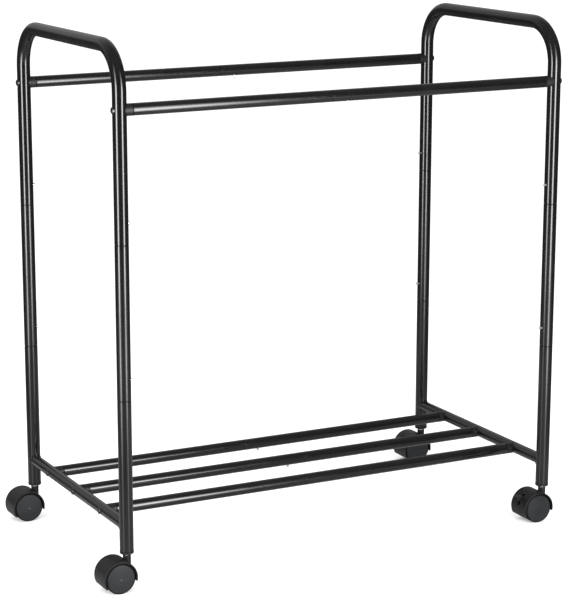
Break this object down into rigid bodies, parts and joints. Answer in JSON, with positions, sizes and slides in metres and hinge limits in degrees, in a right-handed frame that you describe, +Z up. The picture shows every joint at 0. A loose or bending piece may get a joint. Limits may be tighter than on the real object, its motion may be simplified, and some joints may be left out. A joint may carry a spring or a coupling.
{
  "type": "rolling clothes rack",
  "caption": "Rolling clothes rack: two hooped end frames joined by hanging rails and shelf rods, on swivelling twin-wheel casters with brakes on one side.",
  "frame": {"origin": "on the floor, under the middle of the whole rack's bounding box, with the casters trailing to the left", "axes": "+X along the rails to the right, towards the casters with brakes; +Y to the rear; +Z up"},
  "size_m": [0.8409, 0.446, 0.8611],
  "materials": {
    "black_paint": "semi-gloss black powder coat",
    "plug_plastic": "satin moulded black plastic",
    "caster_plastic": "fine-grained moulded plastic, very dark grey",
    "wheel_plastic": "smooth satin plastic, dark grey",
    "bright_steel": "bright nickel plate",
    "black_screw": "gloss black lacquer",
    "zinc_steel": "zinc plate"
  },
  "bodies": {
    "frame": {"left_top_hoop": "black_paint", "right_top_hoop": "black_paint", "left_front_middle_post": "black_paint", "left_front_leg": "black_paint", "left_rear_middle_post": "black_paint", "left_rear_leg": "black_paint", "left_crossbar": "black_paint", "right_front_middle_post": "black_paint", "right_front_leg": "black_paint", "right_rear_middle_post": "black_paint", "right_rear_leg": "black_paint", "right_crossbar": "black_paint", "front_rail_left_half": "black_paint", "front_rail_right_half": "black_paint", "rear_rail_left_half": "black_paint", "rear_rail_right_half": "black_paint", "front_rod_left_half": "black_paint", "front_rod_right_half": "black_paint", "middle_rod_left_half": "black_paint", "middle_rod_right_half": "black_paint", "rear_rod_left_half": "black_paint", "rear_rod_right_half": "black_paint", "rail_end_plugs": "plug_plastic", "rod_end_plugs": "plug_plastic", "threaded_inserts": "zinc_steel", "frame_screws": "black_screw", "button_springs": "zinc_steel", "leg_sockets": "plug_plastic", "caster_stems": "bright_steel"},
    "left_front_upper_button": {"left_front_upper_button": "bright_steel"},
    "left_front_lower_button": {"left_front_lower_button": "bright_steel"},
    "left_rear_upper_button": {"left_rear_upper_button": "bright_steel"},
    "left_rear_lower_button": {"left_rear_lower_button": "bright_steel"},
    "right_front_upper_button": {"right_front_upper_button": "bright_steel"},
    "right_front_lower_button": {"right_front_lower_button": "bright_steel"},
    "right_rear_upper_button": {"right_rear_upper_button": "bright_steel"},
    "right_rear_lower_button": {"right_rear_lower_button": "bright_steel"},
    "front_rail_button": {"front_rail_button": "bright_steel"},
    "rear_rail_button": {"rear_rail_button": "bright_steel"},
    "front_rod_button": {"front_rod_button": "bright_steel"},
    "middle_rod_button": {"middle_rod_button": "bright_steel"},
    "rear_rod_button": {"rear_rod_button": "bright_steel"},
    "left_front_caster": {"left_front_caster_hood": "caster_plastic", "left_front_caster_axle": "zinc_steel"},
    "left_front_caster_front_wheel": {"left_front_caster_front_wheel": "wheel_plastic"},
    "left_front_caster_rear_wheel": {"left_front_caster_rear_wheel": "wheel_plastic"},
    "left_rear_caster": {"left_rear_caster_hood": "caster_plastic", "left_rear_caster_axle": "zinc_steel"},
    "left_rear_caster_front_wheel": {"left_rear_caster_front_wheel": "wheel_plastic"},
    "left_rear_caster_rear_wheel": {"left_rear_caster_rear_wheel": "wheel_plastic"},
    "right_front_caster": {"right_front_caster_hood": "caster_plastic", "right_front_caster_axle": "zinc_steel"},
    "right_front_caster_front_wheel": {"right_front_caster_front_wheel": "wheel_plastic"},
    "right_front_caster_rear_wheel": {"right_front_caster_rear_wheel": "wheel_plastic"},
    "right_front_brake_lever": {"right_front_brake_lever": "caster_plastic"},
    "right_rear_caster": {"right_rear_caster_hood": "caster_plastic", "right_rear_caster_axle": "zinc_steel"},
    "right_rear_caster_front_wheel": {"right_rear_caster_front_wheel": "wheel_plastic"},
    "right_rear_caster_rear_wheel": {"right_rear_caster_rear_wheel": "wheel_plastic"},
    "right_rear_brake_lever": {"right_rear_brake_lever": "caster_plastic"}
  },
  "joints": [
    {"name": "left_front_upper_button_press", "type": "slide", "parent": "frame", "child": "left_front_upper_button", "axis": [-1, 0, 0], "range_m": [0, 0.0054], "stiffness_N_per_m": 1000, "springref_m": -0.002, "deforming": ["button_springs"]},
    {"name": "left_front_lower_button_press", "type": "slide", "parent": "frame", "child": "left_front_lower_button", "axis": [-1, 0, 0], "range_m": [0, 0.0054], "stiffness_N_per_m": 1000, "springref_m": -0.002, "deforming": ["button_springs"]},
    {"name": "left_rear_upper_button_press", "type": "slide", "parent": "frame", "child": "left_rear_upper_button", "axis": [-1, 0, 0], "range_m": [0, 0.0054], "stiffness_N_per_m": 1000, "springref_m": -0.002, "deforming": ["button_springs"]},
    {"name": "left_rear_lower_button_press", "type": "slide", "parent": "frame", "child": "left_rear_lower_button", "axis": [-1, 0, 0], "range_m": [0, 0.0054], "stiffness_N_per_m": 1000, "springref_m": -0.002, "deforming": ["button_springs"]},
    {"name": "right_front_upper_button_press", "type": "slide", "parent": "frame", "child": "right_front_upper_button", "axis": [1, 0, 0], "range_m": [0, 0.0054], "stiffness_N_per_m": 1000, "springref_m": -0.002, "deforming": ["button_springs"]},
    {"name": "right_front_lower_button_press", "type": "slide", "parent": "frame", "child": "right_front_lower_button", "axis": [1, 0, 0], "range_m": [0, 0.0054], "stiffness_N_per_m": 1000, "springref_m": -0.002, "deforming": ["button_springs"]},
    {"name": "right_rear_upper_button_press", "type": "slide", "parent": "frame", "child": "right_rear_upper_button", "axis": [1, 0, 0], "range_m": [0, 0.0054], "stiffness_N_per_m": 1000, "springref_m": -0.002, "deforming": ["button_springs"]},
    {"name": "right_rear_lower_button_press", "type": "slide", "parent": "frame", "child": "right_rear_lower_button", "axis": [1, 0, 0], "range_m": [0, 0.0054], "stiffness_N_per_m": 1000, "springref_m": -0.002, "deforming": ["button_springs"]},
    {"name": "front_rail_button_press", "type": "slide", "parent": "frame", "child": "front_rail_button", "axis": [0, 0, 1], "range_m": [0, 0.0052], "stiffness_N_per_m": 1000, "springref_m": -0.002, "deforming": ["button_springs"]},
    {"name": "rear_rail_button_press", "type": "slide", "parent": "frame", "child": "rear_rail_button", "axis": [0, 0, 1], "range_m": [0, 0.0052], "stiffness_N_per_m": 1000, "springref_m": -0.002, "deforming": ["button_springs"]},
    {"name": "front_rod_button_press", "type": "slide", "parent": "frame", "child": "front_rod_button", "axis": [0, -1, 0], "range_m": [0, 0.0052], "stiffness_N_per_m": 1000, "springref_m": -0.002, "deforming": ["button_springs"]},
    {"name": "middle_rod_button_press", "type": "slide", "parent": "frame", "child": "middle_rod_button", "axis": [0, 0, 1], "range_m": [0, 0.0052], "stiffness_N_per_m": 1000, "springref_m": -0.002, "deforming": ["button_springs"]},
    {"name": "rear_rod_button_press", "type": "slide", "parent": "frame", "child": "rear_rod_button", "axis": [0, 0, 1], "range_m": [0, 0.0052], "stiffness_N_per_m": 1000, "springref_m": -0.002, "deforming": ["button_springs"]},
    {"name": "left_front_caster_swivel", "type": "hinge", "parent": "frame", "child": "left_front_caster", "pos_m": [-0.37295, -0.201, 0.0565], "axis": [0, 0, 1], "continuous": true},
    {"name": "left_front_caster_front_wheel_roll", "type": "hinge", "parent": "left_front_caster", "child": "left_front_caster_front_wheel", "pos_m": [-0.39195, -0.201, 0.025], "axis": [0, 1, 0], "continuous": true},
    {"name": "left_front_caster_rear_wheel_roll", "type": "hinge", "parent": "left_front_caster", "child": "left_front_caster_rear_wheel", "pos_m": [-0.39195, -0.201, 0.025], "axis": [0, 1, 0], "continuous": true},
    {"name": "left_rear_caster_swivel", "type": "hinge", "parent": "frame", "child": "left_rear_caster", "pos_m": [-0.37295, 0.201, 0.0565], "axis": [0, 0, 1], "continuous": true},
    {"name": "left_rear_caster_front_wheel_roll", "type": "hinge", "parent": "left_rear_caster", "child": "left_rear_caster_front_wheel", "pos_m": [-0.39195, 0.201, 0.025], "axis": [0, 1, 0], "continuous": true},
    {"name": "left_rear_caster_rear_wheel_roll", "type": "hinge", "parent": "left_rear_caster", "child": "left_rear_caster_rear_wheel", "pos_m": [-0.39195, 0.201, 0.025], "axis": [0, 1, 0], "continuous": true},
    {"name": "right_front_caster_swivel", "type": "hinge", "parent": "frame", "child": "right_front_caster", "pos_m": [0.40705, -0.201, 0.0565], "axis": [0, 0, 1], "continuous": true},
    {"name": "right_front_caster_front_wheel_roll", "type": "hinge", "parent": "right_front_caster", "child": "right_front_caster_front_wheel", "pos_m": [0.38805, -0.201, 0.025], "axis": [0, 1, 0], "continuous": true},
    {"name": "right_front_caster_rear_wheel_roll", "type": "hinge", "parent": "right_front_caster", "child": "right_front_caster_rear_wheel", "pos_m": [0.38805, -0.201, 0.025], "axis": [0, 1, 0], "continuous": true},
    {"name": "right_front_brake_lever_press", "type": "hinge", "parent": "right_front_caster", "child": "right_front_brake_lever", "pos_m": [0.38005, -0.201, 0.038], "axis": [0, -1, 0], "range_deg": [0, 15]},
    {"name": "right_rear_caster_swivel", "type": "hinge", "parent": "frame", "child": "right_rear_caster", "pos_m": [0.40705, 0.201, 0.0565], "axis": [0, 0, 1], "continuous": true},
    {"name": "right_rear_caster_front_wheel_roll", "type": "hinge", "parent": "right_rear_caster", "child": "right_rear_caster_front_wheel", "pos_m": [0.38805, 0.201, 0.025], "axis": [0, 1, 0], "continuous": true},
    {"name": "right_rear_caster_rear_wheel_roll", "type": "hinge", "parent": "right_rear_caster", "child": "right_rear_caster_rear_wheel", "pos_m": [0.38805, 0.201, 0.025], "axis": [0, 1, 0], "continuous": true},
    {"name": "right_rear_brake_lever_press", "type": "hinge", "parent": "right_rear_caster", "child": "right_rear_brake_lever", "pos_m": [0.38005, 0.201, 0.038], "axis": [0, -1, 0], "range_deg": [0, 15]}
  ]
}
